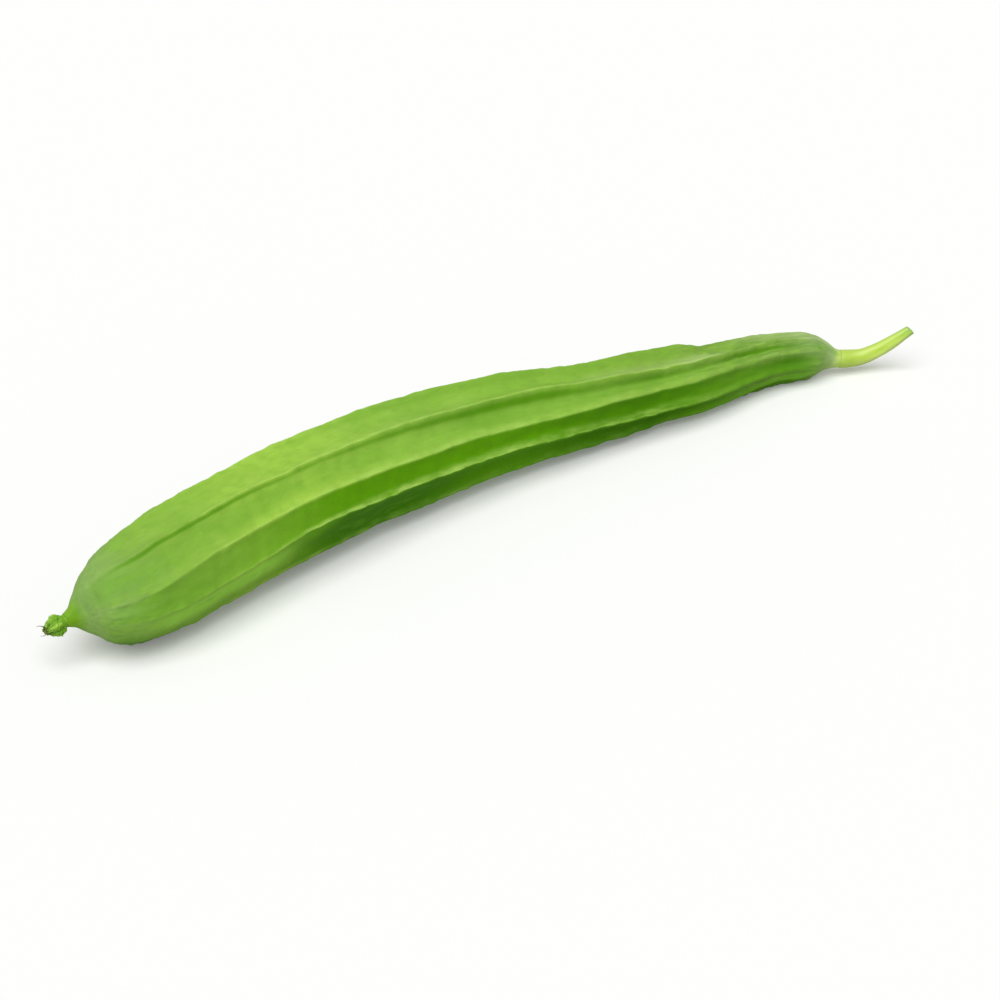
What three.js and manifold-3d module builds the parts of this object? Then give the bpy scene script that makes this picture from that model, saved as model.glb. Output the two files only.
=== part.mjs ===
// A ridge gourd (angled luffa) lying on its side, as picked. The fruit carries ten ridges. The cut
// stem is at +X, and at -X five dried sepals close round the withered flower.
// Millimetres, +Z up. The surface that it lies on is z = 0.
import * as THREE from "three";
import { mergeVertices } from "three/addons/utils/BufferGeometryUtils.js";
import Module from "manifold-3d";

// Driving dimensions -----------------------------------------------------------------------------

// The fruit's stations from the blossom end to the stem: x, y and z of the middle of the section,
// and the section's radius over its ridges.
const FRUIT_STATIONS = [
  [-208, -9.2, 19.6, 2.6],
  [-204.5, -9.2, 19.8, 4.4],
  [-200.5, -9.1, 20, 8.5],
  [-196, -9.6, 20.7, 13.5],
  [-190, -10.6, 21.5, 17.8],
  [-181, -10.7, 22.2, 21],
  [-169, -8.4, 22.8, 23.1],
  [-151, -4, 23.4, 24.3],
  [-121, 2.2, 23.8, 24.7],
  [-81, 7.9, 23.9, 24.9],
  [-31, 11.4, 23.05, 23.9],
  [19, 9.7, 20.75, 21.4],
  [54, 5.2, 18.7, 19],
  [84, 2.4, 17.5, 17.7],
  [109, -1.5, 16.2, 16.5],
  [134, -2.1, 13.1, 13.5],
  [157, -3.7, 11.9, 12.1],
  [169, -7.3, 11.3, 11.4],
  [176, -10.1, 11.1, 10.4],
  [181.5, -12.4, 10.1, 7.6],
  [187, -15.4, 8.4, 4.6],
  [189.5, -17, 8, 4],
];

// The stem's stations, in the same form.
const STEM_STATIONS = [
  [190, -17.2, 7.9, 4.1],
  [194, -19, 7.5, 4.1],
  [199, -21.3, 7.7, 3.85],
  [205, -24.4, 10, 3.6],
  [211, -28, 14, 3.1],
  [218.5, -32.6, 20.3, 2.4],
];
const STEM_FLUTES = 5;
const STEM_FLUTE_DEPTH = 0.2;

// Ridges: the angle of each from straight down, towards the side that faces +Y, how far it leans
// from there in degrees, at fractions of the length, how full its keel is, and how far from the
// blossom end that is reached.
const UPRIGHT = [
  [0, 0],
  [1, 0],
];
const PLAIN_RIDGE = { lean: UPRIGHT, sharp: 1, fullFrom: 60 };
const LEAN_BACK = [
  [0, -6],
  [0.05, -6],
  [0.17, 0],
  [0.4, 0],
  [1, 0],
];
const LEAN_TOP = [
  [0, -5.5],
  [0.09, -5.5],
  [0.16, -2.5],
  [0.22, 0],
  [0.45, 1],
  [0.55, 0],
  [0.65, -2],
  [0.73, -0.5],
  [0.8, 1],
  [0.86, -4],
  [0.92, -1],
  [1, 2],
];
const LEAN_SIDE = [
  [0, 5.5],
  [0.06, 5],
  [0.12, 0],
  [0.28, 0],
  [0.38, 1.3],
  [0.5, 2.2],
  [0.62, 0.8],
  [0.74, -4.4],
  [0.8, -6],
  [0.87, -3],
  [1, -2],
];
const LEAN_LOW = [
  [0, 5],
  [0.16, 5],
  [0.23, 1.5],
  [0.3, 0.3],
  [0.4, 1.8],
  [0.58, 1.6],
  [0.67, 4],
  [0.75, 3],
  [0.81, 5],
  [0.87, 10],
  [0.92, 11],
  [1, 8],
];
const RIDGES = [
  { ...PLAIN_RIDGE, angle: -18 },
  { ...PLAIN_RIDGE, angle: 18 },
  { ...PLAIN_RIDGE, angle: 54 },
  { ...PLAIN_RIDGE, angle: 90 },
  { ...PLAIN_RIDGE, angle: 125 },
  { ...PLAIN_RIDGE, angle: 161, lean: LEAN_BACK },
  { ...PLAIN_RIDGE, angle: 205.5, lean: LEAN_TOP, fullFrom: 26 },
  { ...PLAIN_RIDGE, angle: 241, lean: LEAN_SIDE, sharp: 0.35 },
  { ...PLAIN_RIDGE, angle: 267.5, lean: LEAN_LOW, sharp: 0.5, fullFrom: 80 },
  { ...PLAIN_RIDGE, angle: 306, fullFrom: 75 },
];
// How far the ridges have turned round the fruit, in degrees, at fractions of its length.
const TWIST_DEG = [
  [0, -3],
  [0.15, -1],
  [0.27, -1.5],
  [0.42, 2],
  [0.6, 4.3],
  [0.66, 5.5],
  [0.72, 8.5],
  [0.78, 7.5],
  [0.84, -1],
  [0.9, -6],
  [1, -6],
];
// At fractions of the length: how far a full ridge stands proud of its flat panels, the width of
// its flank, and how far the middle of a panel sinks.
const KEEL_HEIGHT = [
  [0, 0.8],
  [0.3, 1],
  [0.45, 1.6],
  [0.6, 1.9],
  [1, 1.7],
];
const KEEL_FLANK = [
  [0, 0.9],
  [0.3, 1.1],
  [0.45, 1.9],
  [0.6, 2.4],
  [1, 2.4],
];
const PANEL_HOLLOW = [
  [0, 0.1],
  [0.3, 0.3],
  [0.45, 0.9],
  [0.6, 1.1],
  [0.9, 0.9],
  [1, 0.7],
];
// The ridges grow out of the round neck and fade into the round shoulder between these distances
// from the fruit's two ends.
const NECK = [6, 30];
const SHOULDER = [9, 30];

// Blossom end.
const SEPALS = 5;
const SEPAL_LENGTHS = [7.8, 7, 8.1, 7.4, 6.8];
const SEPAL_SPREAD_DEG = 63;
const SEPAL_THICKNESS = 1.0;
// A sepal's outer face: its radius at the neck, how far it swells, how far its tip closes in again,
// the crease along its middle and the share of its width that the tip loses.
const SEPAL_NECK = 2.5;
const SEPAL_SWELL = 1.85;
const SEPAL_CLOSING = 1.2;
const SEPAL_CREASE = 0.15;
const SEPAL_NARROWING = 0.35;
// The sepals and the flower start this far out of the fruit's end, and point down by this slope.
const KNOB_START = 0.5;
const KNOB_DROP = 0.16;
const PISTIL_LENGTH = 8.8;
const PISTIL_RADIUS = 1.05;
const THREAD_RADIUS = 0.22;
const THREADS = [
  [
    [8, -0.3, 0.6],
    [8.7, -0.5, 2.5],
    [10, -0.2, 4],
    [11.2, 0.5, 4.9],
  ],
  [
    [8.2, -0.2, -0.6],
    [8.8, -1.8, -2.6],
    [9.3, -2.6, -3],
    [10, -3.1, -2.8],
  ],
];

// Touching solids keep this much clearance.
const GAP = 0.3;

// Mesh density.
const FRUIT_RINGS = 60;
const PANEL_STEPS = [0, 0.12, 0.5, 0.88];
const STEM_RINGS = 18;
const STEM_SIDES = 15;
const SEPAL_RINGS = 10;
const PISTIL_RINGS = 8;
const PISTIL_SIDES = 8;
const THREAD_STEPS = 8;

const UP = new THREE.Vector3(0, 0, 1);
const { lerp, smoothstep, degToRad } = THREE.MathUtils;

// Curves -----------------------------------------------------------------------------------------

/** Value of a smooth curve through the rows at the knots: each slope is the mean of its neighbours'. */
function spline(knots, rows, t) {
  const last = knots.length - 1;
  const slope = (i, c) => (rows[i + 1][c] - rows[i][c]) / (knots[i + 1] - knots[i]);
  const tangent = (i, c) => (slope(Math.max(i - 1, 0), c) + slope(Math.min(i, last - 1), c)) / 2;
  let i = knots.findIndex((k) => k > t) - 1;
  if (i < 0) i = last - 1;
  const h = knots[i + 1] - knots[i];
  const s = (t - knots[i]) / h;
  return rows[i].map(
    (v, c) =>
      (2 * s ** 3 - 3 * s ** 2 + 1) * v +
      (s ** 3 - 2 * s ** 2 + s) * h * tangent(i, c) +
      (3 * s ** 2 - 2 * s ** 3) * rows[i + 1][c] +
      (s ** 3 - s ** 2) * h * tangent(i + 1, c),
  );
}

/** Value at t of a table of [t, value] rows, smoothly. */
function tableAt(table, t) {
  const knots = table.map((row) => row[0]);
  const values = table.map((row) => [row[1]]);
  return spline(knots, values, t)[0];
}

/** A body's middle line: its knots are the chord lengths between stations. */
class Midline {
  constructor(stations) {
    this.stations = stations;
    this.knots = [0];
    for (let i = 1; i < stations.length; i++) {
      const here = new THREE.Vector3(...stations[i]);
      const before = new THREE.Vector3(...stations[i - 1]);
      this.knots.push(this.knots[i - 1] + here.distanceTo(before));
    }
    this.length = this.knots.at(-1);
  }

  /** Centre, radius and the section's own axes: tangent, side (towards +Y) and top. */
  at(s) {
    const [x, y, z, radius] = spline(this.knots, this.stations, s);
    const step = 0.25;
    const ahead = spline(this.knots, this.stations, Math.min(s + step, this.length));
    const behind = spline(this.knots, this.stations, Math.max(s - step, 0));
    const tangent = new THREE.Vector3(...ahead).sub(new THREE.Vector3(...behind)).normalize();
    const side = new THREE.Vector3().crossVectors(UP, tangent).normalize();
    const top = new THREE.Vector3().crossVectors(tangent, side);
    return { centre: new THREE.Vector3(x, y, z), radius, tangent, side, top };
  }
}

/** The point at a radius and an angle from straight down, in a section. */
function around(section, radius, angle) {
  return section.centre
    .clone()
    .addScaledVector(section.top, -Math.cos(angle) * radius)
    .addScaledVector(section.side, Math.sin(angle) * radius);
}

// Solids -----------------------------------------------------------------------------------------

/** A closed solid through rings of equal length, each end closed by a fan to the ring's middle. */
function loft(rings) {
  const sides = rings[0].length;
  const points = rings.flat();
  const faces = [];
  for (let r = 0; r < rings.length - 1; r++) {
    for (let i = 0; i < sides; i++) {
      const a = r * sides + i;
      const b = r * sides + ((i + 1) % sides);
      faces.push(a, b, b + sides, a, b + sides, a + sides);
    }
  }
  for (const [r, flip] of [
    [0, false],
    [rings.length - 1, true],
  ]) {
    const middle = rings[r].reduce((sum, p) => sum.add(p), new THREE.Vector3()).divideScalar(sides);
    points.push(middle);
    for (let i = 0; i < sides; i++) {
      const a = r * sides + i;
      const b = r * sides + ((i + 1) % sides);
      faces.push(points.length - 1, flip ? a : b, flip ? b : a);
    }
  }
  const geometry = new THREE.BufferGeometry().setFromPoints(points);
  geometry.setIndex(faces);
  geometry.computeVertexNormals();
  return geometry;
}

/** The union of closed geometries, as one closed geometry. */
function union(wasm, geometries) {
  const solids = geometries.map((geometry) => {
    const bare = geometry.clone();
    bare.deleteAttribute("normal");
    bare.deleteAttribute("uv");
    const merged = mergeVertices(bare, 1e-4);
    return new wasm.Manifold(
      new wasm.Mesh({
        numProp: 3,
        vertProperties: merged.attributes.position.array,
        triVerts: new Uint32Array(merged.index.array),
      }),
    );
  });
  const joined = solids.reduce((all, solid) => all.add(solid)).getMesh();
  const geometry = new THREE.BufferGeometry();
  geometry.setAttribute("position", new THREE.BufferAttribute(joined.vertProperties, 3));
  geometry.setIndex(new THREE.BufferAttribute(joined.triVerts, 1));
  geometry.computeVertexNormals();
  return geometry;
}

// Fruit ------------------------------------------------------------------------------------------

const fruitLine = new Midline(FRUIT_STATIONS);

/**
 * One section of the fruit. Between two ridges the skin is a flat panel, the chord from ridge to
 * ridge, let down by the keel's height except near the ridges and hollowed along its middle.
 */
function fruitRing(s) {
  const section = fruitLine.at(s);
  const along = s / fruitLine.length;
  const twist = tableAt(TWIST_DEG, along);
  const keel = tableAt(KEEL_HEIGHT, along);
  const flank = tableAt(KEEL_FLANK, along);
  const hollow = tableAt(PANEL_HOLLOW, along);
  const ridged = smoothstep(s, ...NECK) * smoothstep(fruitLine.length - s, ...SHOULDER);
  const ridges = RIDGES.map((ridge) => ({
    angle: ridge.angle + tableAt(ridge.lean, along),
    sharp: ridge.sharp * smoothstep(s / ridge.fullFrom, 0.2, 1),
  }));
  const ring = [];
  ridges.forEach((ridge, k) => {
    const next = ridges[(k + 1) % ridges.length];
    const turn = k + 1 === ridges.length ? 360 : 0;
    const gap = degToRad(next.angle + turn - ridge.angle);
    for (const t of PANEL_STEPS) {
      const angle = degToRad(ridge.angle + twist) + gap * t;
      const chord = Math.cos(gap / 2) / Math.cos((t - 0.5) * gap);
      const fromRidge = Math.min(t, 1 - t) * gap * section.radius;
      const sharp = lerp(ridge.sharp, next.sharp, smoothstep(t, 0.2, 0.8));
      const drop =
        sharp * keel * (1 - Math.exp(-fromRidge / flank)) + hollow * Math.sin(Math.PI * t) ** 2;
      ring.push(around(section, section.radius * lerp(1, chord, ridged) - ridged * drop, angle));
    }
  });
  return ring;
}

/** The rings crowd towards both ends, where the fruit's outline turns fastest. */
function fruitGeometry() {
  const rings = [];
  for (let i = 0; i <= FRUIT_RINGS; i++) {
    rings.push(fruitRing((fruitLine.length * (1 - Math.cos((Math.PI * i) / FRUIT_RINGS))) / 2));
  }
  return loft(rings);
}

// Stem -------------------------------------------------------------------------------------------

/** A five-fluted stalk that starts a gap away from the fruit and ends in its cut face. */
function stemGeometry() {
  const line = new Midline(STEM_STATIONS);
  const rings = [];
  for (let i = 0; i <= STEM_RINGS; i++) {
    const section = line.at(lerp(GAP, line.length, i / STEM_RINGS));
    const ring = [];
    for (let k = 0; k < STEM_SIDES; k++) {
      const angle = (2 * Math.PI * k) / STEM_SIDES;
      const radius = section.radius - STEM_FLUTE_DEPTH * (1 - Math.cos(STEM_FLUTES * angle));
      ring.push(around(section, radius, angle));
    }
    rings.push(ring);
  }
  return loft(rings);
}

// Blossom end ------------------------------------------------------------------------------------

/** The frame of the knob: x runs out of the fruit's neck and a little down, y to the side, z up. */
function knobFrame() {
  const neck = fruitLine.at(0);
  const out = neck.tangent.clone().negate().addScaledVector(UP, -KNOB_DROP).normalize();
  const side = new THREE.Vector3().crossVectors(UP, out).normalize();
  const top = new THREE.Vector3().crossVectors(out, side);
  return new THREE.Matrix4().makeBasis(out, side, top).setPosition(neck.centre);
}

/** A sepal: a strip of shell that bulges out of the neck, closes over the flower and narrows. */
function sepalGeometry(index) {
  const length = SEPAL_LENGTHS[index];
  const middle = (2 * Math.PI * (index + 0.5)) / SEPALS;
  const rings = [];
  for (let i = 0; i <= SEPAL_RINGS; i++) {
    const t = i / SEPAL_RINGS;
    const outer = SEPAL_NECK + SEPAL_SWELL * Math.sin(Math.PI * 0.95 * t) - SEPAL_CLOSING * t ** 3;
    const inner = outer - SEPAL_THICKNESS * (1 - 0.45 * t);
    const half = degToRad(SEPAL_SPREAD_DEG / 2) * (1 - SEPAL_NARROWING * t ** 3);
    const x = KNOB_START + length * t;
    const point = (radius, share) =>
      new THREE.Vector3(
        x,
        radius * Math.cos(middle + half * share),
        radius * Math.sin(middle + half * share),
      );
    rings.push([
      point(outer, -1),
      point(outer, -0.4),
      point(outer + SEPAL_CREASE, 0),
      point(outer, 0.4),
      point(outer, 1),
      point(inner, 1),
      point(inner, 0),
      point(inner, -1),
    ]);
  }
  return loft(rings);
}

/** The flower's dried pistil: a spindle with two thin threads that stand out of the sepals. */
function flowerGeometry(wasm) {
  const rings = [];
  for (let i = 0; i <= PISTIL_RINGS; i++) {
    const t = i / PISTIL_RINGS;
    const radius = PISTIL_RADIUS * (0.75 + 0.45 * Math.sin(Math.PI * t) - 0.35 * t);
    const ring = [];
    for (let k = 0; k < PISTIL_SIDES; k++) {
      const angle = (2 * Math.PI * k) / PISTIL_SIDES;
      ring.push(
        new THREE.Vector3(
          KNOB_START + PISTIL_LENGTH * t,
          radius * Math.cos(angle),
          radius * Math.sin(angle),
        ),
      );
    }
    rings.push(ring);
  }
  const round = new THREE.Shape().absarc(0, 0, THREAD_RADIUS, 0, 2 * Math.PI);
  const threads = THREADS.map(
    (points) =>
      new THREE.ExtrudeGeometry(round, {
        steps: THREAD_STEPS,
        curveSegments: 3,
        extrudePath: new THREE.CatmullRomCurve3(points.map((p) => new THREE.Vector3(...p))),
      }),
  );
  return union(wasm, [loft(rings), ...threads]);
}

// Assembly ---------------------------------------------------------------------------------------

const skinMaterial = new THREE.MeshStandardMaterial({ color: 0x82b23c, roughness: 0.5, metalness: 0 });
const stemMaterial = new THREE.MeshStandardMaterial({ color: 0xc3dc60, roughness: 0.55, metalness: 0 });
const sepalMaterial = new THREE.MeshStandardMaterial({ color: 0x6fa81f, roughness: 0.6, metalness: 0 });
const flowerMaterial = new THREE.MeshStandardMaterial({ color: 0x5a4a30, roughness: 0.9, metalness: 0 });

/** A named mesh of one sub-part. */
function piece(name, geometry, material) {
  const mesh = new THREE.Mesh(geometry, material);
  mesh.name = name;
  return mesh;
}

const wasm = await Module();
wasm.setup();

const knob = new THREE.Group();
knob.applyMatrix4(knobFrame());
for (let i = 0; i < SEPALS; i++) {
  knob.add(piece(`sepal_${i + 1}`, sepalGeometry(i), sepalMaterial));
}
knob.add(piece("withered_flower", flowerGeometry(wasm), flowerMaterial));

const gourd = new THREE.Group();
gourd.add(piece("fruit", fruitGeometry(), skinMaterial));
gourd.add(piece("stem", stemGeometry(), stemMaterial));
gourd.add(knob);

export default gourd;
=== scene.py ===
"""The looks of a ridge gourd (angled luffa) that lies on its side, as picked.

The ten-ridged fruit, its cut stalk, the five dry sepals and the withered flower between them are
surfaces worked out on grids, laid over the CAD parts that they stand for. The size tables are in
millimetres in the CAD frame: +X towards the stalk, +Z up, and the gourd lies on z = 0.
"""

import logging
import math
from abc import ABC, abstractmethod
from collections.abc import Mapping, Sequence
from dataclasses import dataclass, replace
from enum import Enum

import bpy
import numpy as np
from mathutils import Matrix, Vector
from numpy.typing import NDArray


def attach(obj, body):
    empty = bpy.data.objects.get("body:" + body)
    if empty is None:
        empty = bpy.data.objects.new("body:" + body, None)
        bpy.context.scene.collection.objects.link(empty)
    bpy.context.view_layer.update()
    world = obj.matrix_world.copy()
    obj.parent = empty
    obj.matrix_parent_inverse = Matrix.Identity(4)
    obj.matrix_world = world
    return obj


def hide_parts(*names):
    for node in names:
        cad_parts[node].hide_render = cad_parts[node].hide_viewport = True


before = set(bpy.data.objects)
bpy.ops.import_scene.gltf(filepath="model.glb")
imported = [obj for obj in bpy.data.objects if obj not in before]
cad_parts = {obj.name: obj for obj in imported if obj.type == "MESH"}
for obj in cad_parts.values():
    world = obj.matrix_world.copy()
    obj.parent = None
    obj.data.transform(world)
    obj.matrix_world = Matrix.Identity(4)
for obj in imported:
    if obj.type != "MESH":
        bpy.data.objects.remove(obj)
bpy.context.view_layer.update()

Array = NDArray[np.float64]
Span = tuple[float, float]
Point = tuple[float, float, float]
Table = tuple[tuple[float, float], ...]  # rows of a place and a value
Stops = tuple[tuple[float, str], ...]  # rows of a place and a colour
Sockets = tuple[tuple[str, float | Point], ...]  # rows of a socket's name and its value
Stations = tuple[tuple[float, float, float, float], ...]  # rows of four, such as x, y, z, radius
Ripplings = tuple[tuple[int, float, float], ...]  # rows of a seed, a height and a size
Tree = bpy.types.NodeTree
Source = bpy.types.NodeSocket | bpy.types.Node
Piece = bpy.types.Object

LOG = logging.getLogger("ridge_gourd")
BODY = "root"
METRES = 0.001  # one millimetre
FULL_TURN = 2 * math.pi
UP = np.array([0.0, 0.0, 1.0])

SPECK_DETAIL = 2.0  # the finer layers of the noise that breaks a tint up
PATCH_DETAIL = 3.0  # and of the noise that roughness follows
PATCH_LIMITS = {"From Min": 0.3, "From Max": 0.7}  # where that noise is smoothest and roughest

# Sockets of a Mix node that mixes colours.
MIX_SHARE, MIX_FIRST, MIX_SECOND, MIX_RESULT = 0, 6, 7, 2


class Slot(Enum):
    """The record's material slots."""

    SKIN = "skin"
    STEM = "stem"
    SEPAL = "sepal"
    FLOWER = "flower"


class Space(Enum):
    """The coordinates that a natural pattern is laid out in, both in metres."""

    OBJECT = "object"  # as the piece lies
    GRAIN = "grain"  # along the piece and round it, as if it were straight


# --- Numbers ---


def smoothstep(x: Array, low: float, high: float) -> Array:
    """Rises from 0 at low to 1 at high as 3x² - 2x³ of the share between, level at both ends."""
    share = np.clip((x - low) / (high - low), 0, 1)
    return share * share * (3 - 2 * share)


def band(x: Array, rise: Span, fall: Span) -> Array:
    """Comes in by a smoothstep over the span of rise, and goes out by one over that of fall."""
    return smoothstep(x, *rise) * (1 - smoothstep(x, *fall))


def spline(knots: Array, rows: Array, at: Array) -> Array:
    """Follows a smooth curve through rows of values.

    Each stretch is a cubic that meets its two rows, and its slope at a row is the mean of the
    straight slopes before and after that row.

    Args:
        knots: The place of each row, increasing.
        rows: One row of values for each knot.
        at: The places where values are wanted.

    Returns:
        One row of values for each place.
    """
    slopes = np.diff(rows, axis=0) / np.diff(knots)[:, None]
    tangents = (np.vstack([slopes[:1], slopes]) + np.vstack([slopes, slopes[-1:]])) / 2
    i = np.clip(np.searchsorted(knots, at, side="right") - 1, 0, len(knots) - 2)
    span = (knots[i + 1] - knots[i])[:, None]
    u = (at - knots[i])[:, None] / span
    return (
        (2 * u**3 - 3 * u**2 + 1) * rows[i]
        + (u**3 - 2 * u**2 + u) * span * tangents[i]
        + (3 * u**2 - 2 * u**3) * rows[i + 1]
        + (u**3 - u**2) * span * tangents[i + 1]
    )


def table_at(table: Table, at: Array) -> Array:
    """Values of a smooth curve through a table of (place, value) rows, at the given places."""
    rows = np.array(table)
    return spline(rows[:, 0], rows[:, 1:], at)[:, 0]


def share_at(table: Table, at: Array) -> Array:
    """The same as a column, and never below zero, where the curve swings past a flat stretch."""
    return np.maximum(table_at(table, at), 0)[:, None]


def chord_lengths(points: Array) -> Array:
    """The distance of each point from the first, over straight chords."""
    steps = np.linalg.norm(np.diff(points, axis=0), axis=1)
    return np.concatenate([[0.0], np.cumsum(steps)])


def round_axis(x: Array, radius: Array, angle: Array) -> Array:
    """Points at x along an axis, and at a radius and an angle from +Y round it."""
    parts = np.broadcast_arrays(x, radius * np.cos(angle), radius * np.sin(angle))
    return np.stack(parts, axis=-1)


def unit(vectors: Array) -> Array:
    """The vectors, each brought to length one."""
    return vectors / np.linalg.norm(vectors, axis=-1, keepdims=True)


@dataclass(frozen=True)
class Ripples:
    """A seeded sum of sine waves: a smooth random height whose usual size is one.

    Each wave has a random phase and a length within a half of the size given.
    """

    seed: int  # picks the waves
    size: float  # the usual length of a wave, in millimetres
    waves: int = 14  # how many are summed

    def _draw(self) -> tuple[np.random.Generator, Array, Array]:
        """Draws the waves.

        Returns:
            The generator, then each wave's number per millimetre and its phase.
        """
        draw = np.random.default_rng(self.seed)
        rates = 1 / (self.size * draw.uniform(0.55, 1.5, self.waves))
        return draw, rates, draw.uniform(0, FULL_TURN, self.waves)

    def along(self, s: Array) -> Array:
        """Heights along a line.

        Args:
            s: Distances along it, in millimetres.

        Returns:
            One height for each distance.
        """
        _, rates, phases = self._draw()
        waves = np.sin(FULL_TURN * s[..., None] * rates + phases)
        return waves.sum(axis=-1) * math.sqrt(2 / self.waves)

    def over(self, s: Array, angle: Array, radius: float, stretch: float = 1.0) -> Array:
        """Heights over a round body, without a seam.

        Each wave runs in a direction of its own. Its part round the body is rounded to a whole
        number of waves, so that the heights meet after one turn.

        Args:
            s: Distances along the body, in millimetres.
            angle: Angles round it.
            radius: The body's usual radius, in millimetres.
            stretch: How many times longer the waves are along the body than round it.

        Returns:
            One height for each point.
        """
        draw, rates, phases = self._draw()
        headings = draw.uniform(0, FULL_TURN, self.waves)
        total = np.zeros(np.broadcast(s, angle).shape)
        for rate, phase, heading in zip(rates, phases, headings):
            lengthwise = FULL_TURN * rate * math.cos(heading) / stretch
            turns = round(FULL_TURN * radius * rate * math.sin(heading))
            total += np.sin(lengthwise * s + turns * angle + phase)
        return total * math.sqrt(2 / self.waves)


# --- Bodies of rings ---


@dataclass(frozen=True)
class Sections:
    """Sections across a body: arrays with one row for each section."""

    centre: Array
    radius: Array
    tangent: Array
    side: Array
    top: Array

    def points(self, radius: Array, angle: Array) -> Array:
        """Points at a radius and an angle from straight down, towards the side that faces +Y.

        Args:
            radius: One row of radii for each section.
            angle: One row of angles for each section.

        Returns:
            One row of points for each section.
        """
        down = -(np.cos(angle) * radius)[..., None] * self.top[:, None, :]
        across = (np.sin(angle) * radius)[..., None] * self.side[:, None, :]
        return self.centre[:, None, :] + down + across


@dataclass(frozen=True)
class Midline:
    """A body's middle line: a smooth curve through stations of x, y, z and radius."""

    stations: Stations

    def knots(self) -> Array:
        """The distance of each station from the first, over straight chords."""
        return chord_lengths(np.array(self.stations)[:, :3])

    def length(self) -> float:
        """The distance of the last station."""
        return float(self.knots()[-1])

    def sections(self, s: Array, step: float = 0.25) -> Sections:
        """Sections across the line, with axes that stay level on the side.

        The tangent is the difference of two close points, the side axis is straight up crossed
        with it, and the top axis is it crossed with the side axis.

        Args:
            s: Distances along the line.
            step: How far each way the close points lie.

        Returns:
            The sections.
        """
        knots, rows = self.knots(), np.array(self.stations)
        here = spline(knots, rows, s)
        ahead = spline(knots, rows, np.minimum(s + step, knots[-1]))
        behind = spline(knots, rows, np.maximum(s - step, 0))
        tangent = unit((ahead - behind)[:, :3])
        side = unit(np.cross(UP, tangent))
        return Sections(here[:, :3], here[:, 3], tangent, side, np.cross(tangent, side))


@dataclass(frozen=True)
class Shell:
    """One closed surface: its points in millimetres, its faces, and values at its points."""

    points: Array
    quads: NDArray[np.int64]
    fans: NDArray[np.int64]
    values: Mapping[str, Array]

    @classmethod
    def of_rings(cls, rings: Array, values: Mapping[str, Array]) -> "Shell":
        """Closes rows of rings into a shell, with a fan of triangles at each end.

        A point joins the next one of its ring and the same two of the next ring. The middle of a
        fan is the mean of its ring.

        Args:
            rings: The rings' points, as rows by sides by three.
            values: Numbers or vectors at the same points, or one for each ring.

        Returns:
            The shell, with its faces out.
        """
        rows, sides = rings.shape[:2]
        here = np.arange(rows * sides).reshape(rows, sides)
        after = np.roll(here, -1, axis=1)
        quads = np.stack([here[:-1], after[:-1], after[1:], here[1:]], axis=-1)
        first, last = rows * sides, rows * sides + 1
        fans = np.concatenate(
            [
                np.stack([np.full(sides, first), after[0], here[0]], axis=-1),
                np.stack([np.full(sides, last), here[-1], after[-1]], axis=-1),
            ]
        )

        def closed(grid: Array) -> Array:
            """Lays a grid out as the points are numbered.

            Args:
                grid: Values at the rings' points, or one for each ring.

            Returns:
                The same as one list, followed by the means of the first and the last ring.
            """
            full = np.broadcast_to(grid, (rows, sides, *grid.shape[2:]))
            ends = np.stack([full[0].mean(axis=0), full[-1].mean(axis=0)])
            return np.concatenate([full.reshape(rows * sides, *grid.shape[2:]), ends])

        kept = {name: closed(grid) for name, grid in values.items()}
        return cls(closed(rings), quads.reshape(-1, 4), fans, kept)


def add_object(name: str, data: bpy.types.ID) -> Piece:
    """Adds an object to the scene.

    Args:
        name: The object's name.
        data: The mesh, camera or lamp that it holds.

    Returns:
        The object.
    """
    made = bpy.data.objects.new(name, data)
    bpy.context.scene.collection.objects.link(made)
    return made


def make_object(name: str, shells: Sequence[Shell]) -> Piece:
    """Makes one object of closed shells that keeps their values as attributes.

    Args:
        name: The object's name.
        shells: The shells, all with the same kinds of values.

    Returns:
        The object, at the origin, with its place in its mesh.
    """
    offsets = np.cumsum([0] + [len(shell.points) for shell in shells[:-1]])
    faces: list[list[int]] = []
    for shell, offset in zip(shells, offsets):
        faces += (shell.quads + offset).tolist() + (shell.fans + offset).tolist()
    mesh = bpy.data.meshes.new(name)
    points = np.concatenate([shell.points for shell in shells]) * METRES
    mesh.from_pydata(points.tolist(), [], faces)
    mesh.polygons.foreach_set("use_smooth", np.ones(len(faces), dtype=bool))
    for key in shells[0].values:
        data = np.concatenate([shell.values[key] for shell in shells])
        kind, target = ("FLOAT", "value") if data.ndim == 1 else ("FLOAT_VECTOR", "vector")
        attribute = mesh.attributes.new(key, kind, "POINT")
        attribute.data.foreach_set(target, data.astype(np.float32).ravel())
    mesh.update()
    return add_object(name, mesh)


def tube_shell(path: Sequence[Point], radii: Table, sides: int, rows: int, seed: int) -> Shell:
    """A thin dry thread along a curve, a little uneven in its thickness.

    The curve is smooth through the path's points, with sections across its tangent. The radius
    follows its table over the share of the length.

    Args:
        path: The points, in millimetres.
        radii: The radius at shares of the length.
        sides: The points of a ring.
        rows: The rings.
        seed: Picks the unevenness.

    Returns:
        The closed shell.
    """
    knots = chord_lengths(np.array(path))
    share = np.linspace(0, 1, rows)
    line = spline(knots, np.array(path), share * knots[-1])
    tangent = unit(np.gradient(line, axis=0))
    side = unit(np.cross(UP, tangent))[:, None, :]
    top = np.cross(tangent, side[:, 0])[:, None, :]
    angle = (np.arange(sides) * FULL_TURN / sides)[None, :, None]
    radius = table_at(radii, share) * (1 + 0.12 * Ripples(seed, 0.9).along(share * knots[-1]))
    ring = np.cos(angle) * side + np.sin(angle) * top
    rings = line[:, None, :] + radius[:, None, None] * ring
    return Shell.of_rings(rings, {"along": share[:, None]})


# --- Materials ---


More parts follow.
